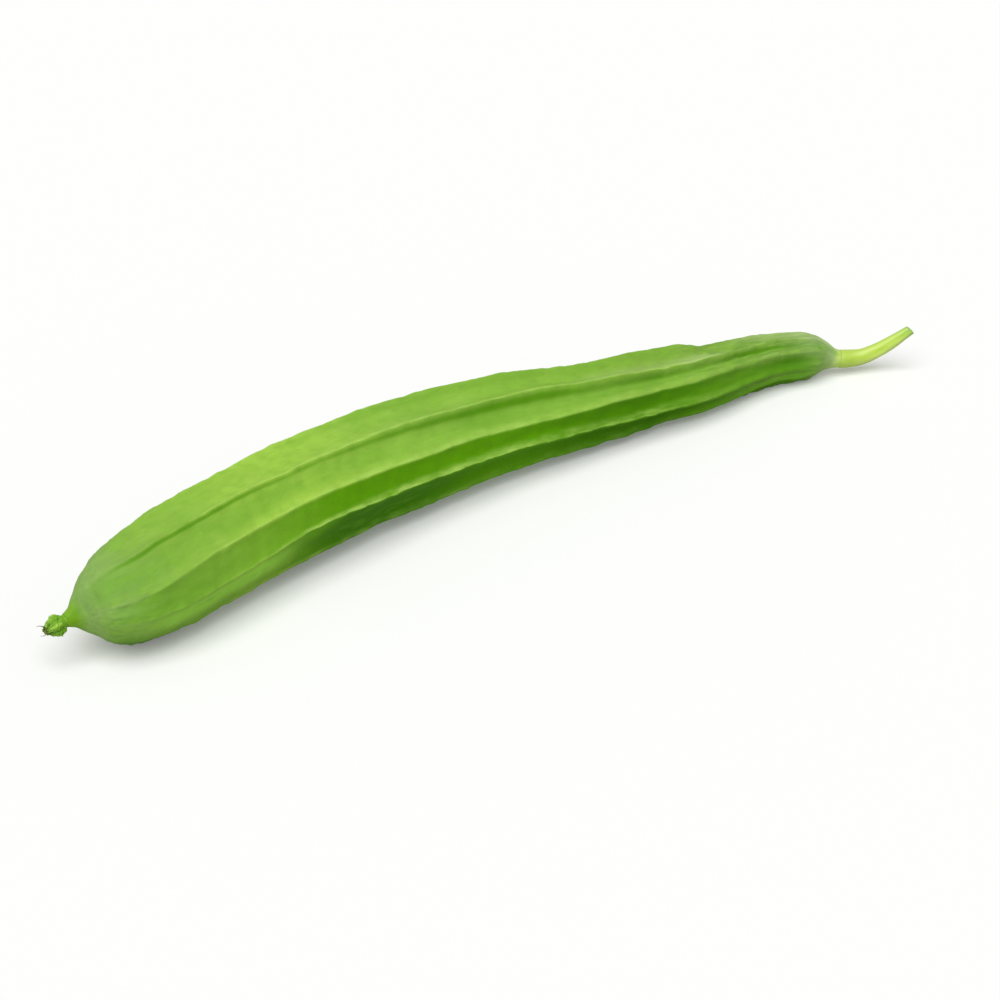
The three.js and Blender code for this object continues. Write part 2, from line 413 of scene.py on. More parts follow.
def linear(colour: str) -> tuple[float, float, float, float]:
    """Turns an sRGB hex colour to linear values, by sRGB's own curve, with an alpha of one.

    Args:
        colour: The colour, such as "#82b23c".

    Returns:
        Red, green, blue and alpha.
    """
    srgb = np.array([int(colour[i : i + 2], 16) for i in (1, 3, 5)]) / 255
    lit = np.where(srgb <= 0.04045, srgb / 12.92, ((srgb + 0.055) / 1.055) ** 2.4)
    return (*lit.tolist(), 1.0)


def empty_tree(owner: bpy.types.Material | bpy.types.World) -> Tree:
    """Turns nodes on and clears them.

    Args:
        owner: What the nodes belong to.

    Returns:
        Its empty node tree.
    """
    owner.use_nodes = True
    owner.node_tree.nodes.clear()
    return owner.node_tree


def add_node(
    tree: Tree,
    kind: str,
    inputs: Mapping[str | int, object] | None = None,
    stops: Stops = (),
    **settings: object,
) -> bpy.types.Node:
    """Adds one node with its settings and links.

    Args:
        tree: The node tree.
        kind: The node's type, without "ShaderNode" in front.
        inputs: Input names or numbers, each with a value, or with the socket that feeds it, or
            with the node whose first socket feeds it.
        stops: A colour ramp's places and hex colours.
        settings: The node's own properties.

    Returns:
        The node.
    """
    node = tree.nodes.new("ShaderNode" + kind)
    for name, value in settings.items():
        setattr(node, name, value)
    for name, value in (inputs or {}).items():
        source = value.outputs[0] if isinstance(value, bpy.types.Node) else value
        if isinstance(source, bpy.types.NodeSocket):
            tree.links.new(source, node.inputs[name])
        else:
            node.inputs[name].default_value = source
    for i, (place, colour) in enumerate(stops):
        elements = node.color_ramp.elements
        element = elements[i] if i < len(elements) else elements.new(place)
        element.position = place
        element.color = linear(colour)
    return node


def natural_pattern(tree: Tree, space: Space, size: Point, detail: float) -> Source:
    """Lays a noise of a real size out in a space.

    Args:
        tree: The node tree.
        space: The coordinates that it follows.
        size: Its size along their axes, in millimetres.
        detail: How many finer layers it has.

    Returns:
        The source of its value, from 0 to 1.
    """
    if space is Space.OBJECT:
        where = add_node(tree, "TexCoord").outputs["Object"]
    else:
        where = add_node(tree, "Attribute", attribute_name=space.value).outputs["Vector"]
    scale = tuple(1 / (METRES * side) for side in size)
    scaled = add_node(tree, "Mapping", {"Vector": where, "Scale": scale})
    return add_node(tree, "TexNoise", {"Vector": scaled, "Scale": 1.0, "Detail": detail})


class Grown:
    """What follows a natural pattern, by its size, space and detail."""

    size: Point
    space: Space
    detail: float

    def value(self, tree: Tree) -> Source:
        """Adds the pattern to the tree."""
        return natural_pattern(tree, self.space, self.size, self.detail)


@dataclass(frozen=True)
class Mottle(Grown):
    """A layer of natural colour, mixed in where a noise of a real size is high."""

    colour: str  # what is mixed in, as sRGB hex
    size: Point  # the pattern's size along the space's axes, in millimetres
    share: float  # how much of the colour shows at most
    low: float = 0.4  # the noise at which it starts
    high: float = 0.7  # the noise at which it is full
    space: Space = Space.OBJECT  # the coordinates that the pattern follows
    detail: float = 3.0  # how many finer layers the noise has


@dataclass(frozen=True)
class Relief(Grown):
    """A layer of fine relief, too small for the mesh."""

    size: Point  # the pattern's size along the space's axes, in millimetres
    height: float  # its height from low to high, in millimetres
    space: Space = Space.OBJECT  # the coordinates that the pattern follows
    detail: float = 2.0  # how many finer layers the noise has


@dataclass(frozen=True)
class Tint:
    """A colour that follows one of the mesh's own attributes."""

    attribute: str  # the attribute's name
    colour: str  # what is mixed in, as sRGB hex
    share: float  # how much of the colour shows at most
    low: float = 0.0  # the value at which it starts
    high: float = 1.0  # the value at which it is full
    speck: Point | None = None  # the size along the grain, in millimetres, of specks in it

    def value(self, tree: Tree) -> Source:
        """Adds the attribute's value to the tree, times the noise of the specks.

        Args:
            tree: The node tree.

        Returns:
            The source of the value.
        """
        found = add_node(tree, "Attribute", attribute_name=self.attribute).outputs["Fac"]
        if self.speck is None:
            return found
        specks = natural_pattern(tree, Space.GRAIN, self.speck, SPECK_DETAIL)
        return add_node(tree, "Math", {0: found, 1: specks}, operation="MULTIPLY")


Mottles = tuple[Mottle, ...]
Tints = tuple[Tint, ...]
Reliefs = tuple[Relief, ...]


@dataclass(frozen=True)
class PlantFinish:
    """What the skins of the gourd's parts have in common: layered colour over a fine relief."""

    name: str = ""  # the material's name
    lengthwise: Stops = ()  # the ground colours, by the piece's "along" values
    mottles: Mottles = ()  # noise colours, laid on in order
    tints: Tints = ()  # colours that follow the mesh, laid on after them
    reliefs: Reliefs = ()  # the layers of fine relief, summed
    roughness: Span = (0.5, 0.6)  # the smoothest and the roughest patches
    patch: float = 8.0  # the size of those patches, in millimetres
    ior: float = 1.45  # the index of refraction of the surface
    sheen: Sockets = ()  # the shader's sockets that are special to the finish, each with its value

    def material(self) -> bpy.types.Material:
        """Makes the material.

        Returns:
            A material whose colour, roughness and relief come from nodes.
        """
        made = bpy.data.materials.new(self.name)
        tree = empty_tree(made)
        colour = self._colour(tree)
        patches = natural_pattern(tree, Space.OBJECT, (self.patch,) * 3, PATCH_DETAIL)
        low, high = self.roughness
        spread = {"Value": patches, "To Min": low, "To Max": high}
        rough = add_node(tree, "MapRange", spread | PATCH_LIMITS)
        height: Source | float = 0.0
        for layer in self.reliefs:
            raised = {0: layer.value(tree), 1: layer.height, 2: height}
            height = add_node(tree, "Math", raised, operation="MULTIPLY_ADD")
        bump = add_node(tree, "Bump", {"Height": height, "Distance": METRES})
        inputs = {"Base Color": colour, "Roughness": rough, "Normal": bump, "IOR": self.ior}
        shader = add_node(tree, "BsdfPrincipled", inputs | dict(self.sheen))
        add_node(tree, "OutputMaterial", {"Surface": shader})
        return made

    def _colour(self, tree: Tree) -> Source:
        """Lays every mottle and tint over the ground colours.

        Args:
            tree: The node tree.

        Returns:
            The source of the colour.
        """
        along = add_node(tree, "Attribute", attribute_name="along").outputs["Fac"]
        colour = add_node(tree, "ValToRGB", {0: along}, self.lengthwise).outputs[0]
        for layer in (*self.mottles, *self.tints):
            limits = {"From Min": layer.low, "From Max": layer.high, "To Max": layer.share}
            value = {"Value": layer.value(tree)}
            share = add_node(tree, "MapRange", value | limits, interpolation_type="SMOOTHSTEP")
            mixed = {MIX_SHARE: share, MIX_FIRST: colour, MIX_SECOND: linear(layer.colour)}
            colour = add_node(tree, "Mix", mixed, data_type="RGBA").outputs[MIX_RESULT]
        return colour


@dataclass(frozen=True)
class WaxyRind(PlantFinish):
    """The gourd's living rind: green flesh under a thin natural wax, grown in lengthwise fibres.

    To the eye it is a fresh yellow-green with a soft, broad sheen. The colour is cloudy and finely
    streaked along the fruit and greyer with bloom at both ends. Its tints also paint light and
    shade:
    painted highlight on the upper side of the crests and on the panels that face up, painted shade
    on the lower panels, at the feet of the keels and where it lies, and painted light from the
    floor near the blossom end. The wax is thin and dull, so it hardly mirrors anything.
    """

    name: str = "waxy_gourd_rind"
    lengthwise: Stops = (
        (0.0, "#6f9f14"), (0.007, "#72a01f"), (0.017, "#7aa446"), (0.06, "#82ac4a"),
        (0.1, "#8ab545"), (0.14, "#8eba46"), (0.2, "#9ec94a"), (0.27, "#a2cc4b"),
        (0.35, "#96c248"), (0.43, "#8ab843"), (0.6, "#88b641"), (0.66, "#85b140"),
        (0.72, "#80a93e"), (0.78, "#83ad43"), (0.85, "#7ea742"), (0.93, "#7ba046"),
        (0.965, "#80a354"), (0.975, "#8cac62"), (0.985, "#a2bf7a"), (0.992, "#b8d47a"),
        (1.0, "#c4dc68"),
    )
    mottles: Mottles = (
        Mottle("#5f9526", (26.0, 12.0, 12.0), 0.25, 0.42, 0.75, Space.GRAIN, 4.0),
        Mottle("#a8d05c", (18.0, 8.0, 8.0), 0.25, 0.48, 0.78, Space.GRAIN, 4.0),
        Mottle("#86b83c", (6.0, 4.0, 4.0), 0.4, 0.45, 0.62, Space.GRAIN, 2.0),
        Mottle("#4f8a10", (6.0, 1.7, 1.7), 0.17, 0.5, 0.78, Space.GRAIN, 3.0),
        Mottle("#b3d85c", (5.0, 1.2, 1.2), 0.17, 0.53, 0.78, Space.GRAIN, 3.0),
    )
    tints: Tints = (
        # Painted shade below ridge 6 and just past ridge 5.
        Tint("dusk", "#4e8e1c", 0.36),
        # Painted highlight on the panels that face up.
        Tint("pallor", "#cbda9b", 0.44),
        # Painted shade: the deeper green of the side panels.
        Tint("under", "#5a9a00", 0.95),
        # Painted shade on the panels below them, broken by lighter streaks.
        Tint("shade", "#326a00", 0.8),
        Tint("shade", "#68a524", 0.3, 0.38, 0.6, (9.0, 1.6, 1.6)),
        # Painted light from the floor near the blossom end, with darker streaks.
        Tint("belly", "#9ad848", 0.8),
        Tint("belly", "#4c8c18", 0.3, 0.5, 0.72, (11.0, 2.2, 2.2)),
        # Painted shade where the fruit lies on the floor.
        Tint("sole", "#3c6a12", 0.5),
        # Painted shade at the foot of each keel.
        Tint("foot", "#549005", 0.85),
        Tint("late", "#4f8610", 0.3, 0.45, 0.65, (16.0, 1.8, 1.8)),
        Tint("late", "#a9cb6c", 0.35, 0.5, 0.72, (14.0, 1.5, 1.5)),
        Tint("haze", "#a6cc6c", 0.32),
        Tint("bloom", "#a9bf88", 0.2),
        Tint("bloom", "#d8e3bf", 0.2, 0.52, 0.9, (0.9, 0.9, 0.9)),
        # Painted highlight on the upper side of each crest.
        Tint("crest", "#b4da68", 0.8, 0.05, 0.65, (9.0, 2.4, 2.4)),
    )
    reliefs: Reliefs = (
        Relief((1.1, 1.1, 1.1), 0.07),
        Relief((7.0, 0.7, 0.7), 0.05, Space.GRAIN),
        Relief((4.0, 3.0, 3.0), 0.14, Space.GRAIN),
    )
    roughness: Span = (0.42, 0.55)
    patch: float = 10.0
    sheen: Sockets = (("Specular IOR Level", 0.04),)


@dataclass(frozen=True)
class FreshStalk(PlantFinish):
    """The cut stalk: smooth, juicy and paler than the fruit, with fine fibres along it.

    To the eye it is a light yellow-green, greener where it leaves the fruit and at the cut, with
    a damp sheen. Light passes a little way into it.
    """

    name: str = "fresh_gourd_stalk"
    lengthwise: Stops = (
        (0.0, "#b8d464"), (0.06, "#b4d052"), (0.2, "#b2cf46"), (0.5, "#bad748"), (0.8, "#b6d64a"),
        (0.94, "#9dca3c"), (1.0, "#84b834"),
    )
    mottles: Mottles = (
        Mottle("#a8cc3f", (8.0, 1.2, 1.2), 0.5, 0.42, 0.75, Space.GRAIN),
        Mottle("#e2ee9c", (6.0, 0.8, 0.8), 0.3, 0.5, 0.8, Space.GRAIN),
    )
    tints: Tints = (
        Tint("crest", "#dcec8c", 0.4),
        Tint("cut", "#8dbb48", 0.85),
    )
    reliefs: Reliefs = (
        Relief((5.0, 0.5, 0.5), 0.05, Space.GRAIN),
        Relief((0.8, 0.8, 0.8), 0.03),
    )
    roughness: Span = (0.4, 0.5)
    patch: float = 4.0
    sheen: Sockets = (
        ("Subsurface Weight", 0.15),
        ("Subsurface Radius", (0.6, 1.0, 0.25)),
        ("Subsurface Scale", 1.5 * METRES),
    )


@dataclass(frozen=True)
class DrySepal(PlantFinish):
    """The sepals that close round the old flower: shrivelled, drying green leaf.

    To the eye they are saturated green lumps, a little brown at the tips and nearly matt. Painted
    shade darkens their folds, their tucked edges and their inner faces, and a yellow painted
    highlight lies on their bulges.
    """

    name: str = "shrivelled_sepal"
    lengthwise: Stops = (
        (0.0, "#74a81a"), (0.5, "#74ab1c"), (0.85, "#6fa320"), (1.0, "#5f8426"),
    )
    mottles: Mottles = (
        Mottle("#4a8812", (1.6, 1.6, 1.6), 0.5, 0.45, 0.7),
        Mottle("#a6cf4a", (2.0, 2.0, 2.0), 0.5, 0.52, 0.78),
    )
    tints: Tints = (
        # Painted shade in the folds between the sepals and on their inner faces.
        Tint("edge", "#457a12", 0.5, 0.4, 1.0),
        # Painted highlight on the bulge of each sepal.
        Tint("crest", "#b4da52", 0.6, 0.3, 1.0),
    )
    reliefs: Reliefs = (
        Relief((0.7, 0.7, 0.7), 0.12),
        Relief((0.25, 0.25, 0.25), 0.03),
    )
    roughness: Span = (0.5, 0.7)
    patch: float = 2.0
    sheen: Sockets = (("Specular IOR Level", 0.4),)


@dataclass(frozen=True)
class WitheredPetal(PlantFinish):
    """What is left of the flower: papery, crumpled and brown.

    To the eye it is a dull straw to dark brown, quite matt, darkest deep inside the sepals.
    """

    name: str = "withered_flower_paper"
    lengthwise: Stops = (
        (0.0, "#5b6b2c"), (0.6, "#66702f"), (1.0, "#857c4c"),
    )
    mottles: Mottles = (
        Mottle("#3c3320", (1.0, 1.0, 1.0), 0.4, 0.42, 0.7),
        Mottle("#a8a07a", (0.8, 0.8, 0.8), 0.4, 0.55, 0.75),
    )
    reliefs: Reliefs = (Relief((0.4, 0.4, 0.4), 0.08),)
    roughness: Span = (0.8, 0.95)
    patch: float = 1.0
    sheen: Sockets = (("Specular IOR Level", 0.25),)


# --- Sub-assemblies ---


class SubAssembly(ABC):
    """A part of the gourd that builds its meshes and dresses them."""

    @abstractmethod
    def build(self) -> list[Piece]:
        """Makes the pieces' meshes."""

    @abstractmethod
    def dress(self, pieces: list[Piece]) -> None:
        """Gives the pieces their finish, and says which CAD nodes they stand for."""


def fix_to_frame(piece: Piece, finish: bpy.types.Material, node: str) -> None:
    """Finishes a piece and fixes it to the frame.

    Args:
        piece: The piece.
        finish: Its material.
        node: The CAD node that it stands for.
    """
    piece.data.materials.append(finish)
    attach(piece, BODY)
    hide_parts(node)
    LOG.info("%s: %d points for %s", piece.name, len(piece.data.vertices), node)


@dataclass(frozen=True)
class Ridge:
    """One ridge of the fruit."""

    angle: float  # its angle from straight down towards +Y, in degrees
    lean: Table = ((0, 0), (1, 0))  # how far it leans from there, along the fruit
    sharp: float = 1.0  # how full its keel is, from 0 to 1
    full_from: float = 60.0  # how far from the blossom end that is reached, in millimetres
    pale: float = 0.45  # how strong the painted highlight is on the skin that leads up to its crest, from 0 to 1
    foot: float = 0.6  # how dark the painted shade is at the foot of its keel, from 0 to 1
    notch: float = 1.0  # how deeply its crest is notched, as a share of the usual


# How far some ridges lean off their angles, in degrees, at shares of the fruit's length.
LEAN_BACK: Table = ((0, -6), (0.05, -6), (0.17, 0), (0.4, 0), (1, 0))
LEAN_TOP: Table = (
    (0, -5.5), (0.09, -5.5), (0.16, -2.5), (0.22, 0), (0.45, 1), (0.55, 0), (0.65, -2),
    (0.73, -0.5), (0.8, 1), (0.86, -4), (0.92, -1), (1, 2),
)
LEAN_SIDE: Table = (
    (0, 5.5), (0.06, 5), (0.12, 0), (0.28, 0), (0.38, 1.3), (0.5, 2.2), (0.62, 0.8), (0.74, -4.4),
    (0.8, -6), (0.87, -3), (1, -2),
)
LEAN_LOW: Table = (
    (0, 5), (0.16, 5), (0.23, 1.5), (0.3, 0.3), (0.4, 1.8), (0.58, 1.6), (0.67, 4), (0.75, 3),
    (0.81, 5), (0.87, 10), (0.92, 11), (1, 8),
)


@dataclass(frozen=True)
class Skin:
    """Where the points of the rind lie: arrays with one row for each ring."""

    s: Array  # the ring's distance from the blossom end, in millimetres, as a column
    along: Array  # the same as a share of the length
    reach: Array  # the ring's radius over the ridges, as a column
    angle: Array  # every point's angle
    grown: Array  # the same without the twist
    number: Array  # the number of the ridge before it, plus its share of the way to the next
    from_ridge: Array  # its distance from the nearest ridge, in millimetres
    gap: Array  # the angle between its two ridges
    after: Array  # 1 past the nearest ridge, -1 before it
    sharp: Array  # how full the keel is there
    owner: NDArray[np.int64]  # the number of the nearest ridge, for each point of a ring


@dataclass(frozen=True)
class Zone:
    """A stretch of the rind that comes in and goes out softly."""

    rise: Span = (-1, 0)  # the ridge numbers over which it comes in, round the fruit
    fall: Span = (10, 11)  # the ridge numbers over which it goes out
    start: Span = (-1, 0)  # the shares of the length over which it comes in
    end: Span = (1, 2)  # the shares of the length over which it goes out
    shares: Table = ((0, 1), (1, 1))  # how strong it is along the fruit

    def over(self, number: Array, along: Array) -> Array:
        """How strong it is at every point."""
        ends = band(along, self.start, self.end) * share_at(self.shares, along[:, 0])
        return band(number, self.rise, self.fall) * ends


@dataclass(frozen=True)
class RindColours:
    """Where the rind's colour changes: zones of its finish's tints, and tables along the fruit.

    The panels that face up stay pale, with painted highlight on them and on the upper side of the
    crests. Those past ridge 7, and on the far side those before ridge 4, take a deeper green as
    painted shade, and the next ones down a darker painted shade still. Painted shade also lies at
    the feet of the keels and where the fruit lies, and painted light from the floor near the
    blossom end.
    """

    # How far the painted highlight on the crests reaches down, in millimetres.
    crest_width: Table = ((0, 1.2), (0.25, 1.4), (0.35, 2.4), (0.47, 3), (0.8, 3.4), (1, 3.2))
    crest_share: Table = (  # how strong the painted highlight on the crests is
        (0, 0), (0.06, 0.3), (0.12, 0.6), (0.16, 0.9), (0.4, 0.95), (0.55, 0.8), (0.75, 0.6),
        (0.85, 0.3), (0.9, 0.12), (0.95, 0.05), (1, 0),
    )
    foot_share: Table = (  # how dark the painted shade at the foot of a keel is
        (0, 0.5), (0.05, 0.9), (0.17, 0.9), (0.25, 0.6), (0.35, 0.7), (0.45, 0.85), (0.6, 0.95),
        (0.67, 0.45), (0.74, 0.7), (0.8, 0.5), (0.86, 1), (1, 0.5),
    )
    side_shade_share: Table = (  # how deep a green the painted shade gives the side panels
        (0, 0), (0.17, 0.06), (0.25, 0.7), (0.3, 0.95), (0.45, 1), (0.64, 1), (0.7, 0.93),
        (0.76, 0.85), (0.82, 0.7), (0.9, 0.64), (0.95, 0.62), (0.98, 0), (1, 0),
    )
    deep_shade_share: Table = (  # how dark the painted shade of the panels below them is
        (0, 0), (0.17, 0.08), (0.25, 0.45), (0.3, 0.85), (0.4, 0.85), (0.5, 0.42), (0.58, 0.5),
        (0.67, 0.75), (0.74, 0.7), (0.8, 0.35), (0.9, 0.1), (0.98, 0), (1, 0),
    )
    dull_crest: Zone = Zone((7.5, 7.7), (8.3, 8.5), end=(0.16, 0.27))  # where their painted highlight is fainter
    plain_crest: Zone = Zone(fall=(8.3, 8.5), end=(0.27, 0.31))  # where the painted shade keeps off them
    # The side panel next to the blossom end: it takes more of the side panels' painted shade, and
    # a little of the painted light from the floor.
    side: Zone = Zone((6.96, 7.12), (7.9, 8.1), (0.02, 0.045), (0.17, 0.27))
    deep: Zone = Zone(  # what the side panel has of the darker painted shade
        (6.98, 7.08),
        (7.9, 8.05),
        shares=(
            (0, 0), (0.5, 0), (0.6, 0.35), (0.7, 0.55), (0.76, 0.5), (0.81, 0.28), (0.86, 0.27),
            (0.91, 0.4), (0.95, 0.4), (0.98, 0), (1, 0),
        ),
    )
    # More of that painted shade towards the stalk, on the lowest panel that shows and inside the
    # side panel.
    deep_late: tuple[Zone, Zone] = (
        Zone((8.5, 8.8), start=(0.78, 0.84), end=(0.93, 0.96), shares=((0, 0.1), (1, 0.1))),
        Zone((7.3, 7.55), (7.7, 7.9), (0.78, 0.84), (0.93, 0.96), ((0, 0.17), (1, 0.17))),
    )
    panel: Zone = Zone((5.98, 6.06), (6.9, 7.0))  # the panel above the side panel
    dusk: Table = (  # how strong the painted shade is on its upper half
        (0, 0.5), (0.07, 0.65), (0.12, 0.5), (0.2, 0.9), (0.28, 0.7), (0.35, 0.7), (0.42, 0.2),
        (0.5, 0.75), (0.58, 0.6), (0.68, 0.7), (0.74, 0.7), (0.8, 0.3), (1, 0.35),
    )
    crown: Zone = Zone(  # painted shade on the top panel just past ridge 5
        (4.98, 5.04),
        (5.1, 5.36),
        shares=(
            (0, 0), (0.12, 0), (0.2, 0.2), (0.3, 0.35), (0.41, 0.65), (0.5, 0.45), (0.6, 0.45),
            (0.7, 0.4), (0.76, 0.4), (0.79, 0), (1, 0),
        ),
    )
    top: Zone = Zone(  # painted highlight on the skin that rounds over ridge 5
        (4.3, 5.0),
        (5.12, 5.55),
        shares=((0, 0), (0.8, 0), (0.84, 0.12), (0.9, 0.65), (0.94, 0.6), (0.97, 1), (1, 0.4)),
    )
    rim: Zone = Zone(  # painted highlight on the skin that leads up to ridge 6
        (5.1, 5.85),
        (5.97, 6.03),
        shares=(
            (0, 0), (0.6, 0), (0.66, 0.5), (0.75, 0.5), (0.8, 1), (0.85, 0.1), (0.9, 0),
            (0.95, 0.7), (0.97, 1.1), (1, 0.4),
        ),
    )
    haze: Zone = Zone(  # the pale skin below ridge 8
        (8.04, 8.24),
        (8.5, 9.0),
        shares=((0, 0), (0.79, 0), (0.85, 0.8), (0.9, 1), (0.95, 0.35), (1, 0)),
    )
    late: Zone = Zone(start=(0.62, 0.85), end=(0.97, 0.985))  # the streaks towards the stalk
    bloom: Zone = Zone(start=(0.006, 0.018), end=(0.025, 0.08))  # the bloom round the blossom end
    collar: Zone = Zone(start=(0.9, 0.965), end=(0.97, 0.995))  # the bloom round the stalk
    belly: Zone = Zone((7.9, 8.3), start=(0.03, 0.1), end=(0.17, 0.27))  # painted light from the floor below ridge 8
    sole: Zone = Zone(start=(0.02, 0.05), end=(0.23, 0.3))  # painted shade where it lies

    def values(self, skin: Skin, flank: Array, ridges: Sequence[Ridge]) -> dict[str, Array]:
        """Works the tints' values out at every point of the rind.

        Args:
            skin: Where the points lie.
            flank: The width of a keel's flank at every ring, as a column.
            ridges: The ridges.

        Returns:
            Values from 0 to 1, by the names of the tints' attributes.
        """
        number, along, share = skin.number, skin.along, skin.along[:, 0]
        zones = (self.side, self.deep, *self.deep_late, self.crown, self.top, self.rim, self.haze)
        side, deep, lowest, middle, crown, top, rim, haze = (
            zone.over(number, along) for zone in zones
        )
        # Each ridge's share of the painted highlight on its crest and of the painted shade at its
        # keel's foot.
        pale, foot = np.array([(ridge.pale, ridge.foot) for ridge in ridges])[skin.owner].T
        down = np.cos(skin.angle)
        lower = smoothstep(-np.sin(skin.angle) * skin.after, -0.6, 0.6)

        # Painted highlight on the upper side of each crest.
        width = share_at(self.crest_width, share)
        crest = np.exp(-((skin.from_ridge / width) ** 2)) * (1 - lower)
        crest *= pale * share_at(self.crest_share, share)
        crest *= 1 - 0.7 * self.dull_crest.over(number, along)
        # The painted shade at the foot is darkest a little more than a flank's width from the
        # crest, on its lower side.
        foot = foot * share_at(self.foot_share, share) * lower
        foot *= np.exp(-(((skin.from_ridge / flank - 1.1) / 0.8) ** 2))

        # Painted shade: the side panels take a deeper green, which comes in at a ridge on the side
        # that shows and slowly on the far side, and more slowly towards the stalk. The panels
        # below take a darker one still.
        fade = 0.16 + 0.3 * smoothstep(along, 0.8, 0.88)
        green = smoothstep((number - 6.96) / fade, 0, 1) + 1 - smoothstep(number, 3.0, 3.9)
        shade = smoothstep(number, 7.97, 8.12) + 1 - smoothstep(number, 1.6, 2.8)
        near_crest = np.exp(-((skin.from_ridge / 4) ** 2))
        shade *= 1 - 0.8 * near_crest * self.plain_crest.over(number, along)
        shade = shade * share_at(self.deep_shade_share, share) + deep + lowest + middle

        panel = self.panel.over(number, along)
        # Painted shade on the upper half of the panel below ridge 6.
        dusk = panel * (0.5 + 0.5 * smoothstep(number, 6.02, 6.4))
        dusk *= (1 - smoothstep(number, 6.6, 6.95)) * share_at(self.dusk, share)
        # The bloom hardly goes past the tip on the panels that face the light.
        past = 0.7 * smoothstep(along, 0.02, 0.035)
        bloom = self.bloom.over(number, along) * (1 - past * panel)
        bloom *= 1 - past * smoothstep(number, 7.4, 8.0)
        collar = self.collar.over(number, along) * (1 - 0.65 * smoothstep(number, 6.2, 6.6))
        # Painted light from the floor on the panel below ridge 8, where it faces down least.
        belly = self.belly.over(number, along) * (1 - smoothstep(down, 0.2, 0.6))
        # Most of these values paint light on the rind: highlight on the crests and upper panels,
        # shade at the keels' feet, on the side and lower panels and where it lies, and light from
        # the floor near the blossom end.
        return {
            "along": along,
            "crest": crest,
            "foot": foot,
            "dusk": dusk + crown,
            "pallor": top + rim,
            "haze": haze,
            "bloom": bloom + collar,
            "under": np.clip(green * share_at(self.side_shade_share, share) + 0.45 * side, 0, 1),
            "shade": np.clip(shade, 0, 1),
            "belly": 0.2 * side + belly,
            # Painted shade where the fruit faces the floor near the blossom end.
            "sole": self.sole.over(number, along) * smoothstep(down, 0.3, 0.65),
            "late": self.late.over(number, along) * (1 - 0.5 * smoothstep(number, 6.96, 7.1)),
        }


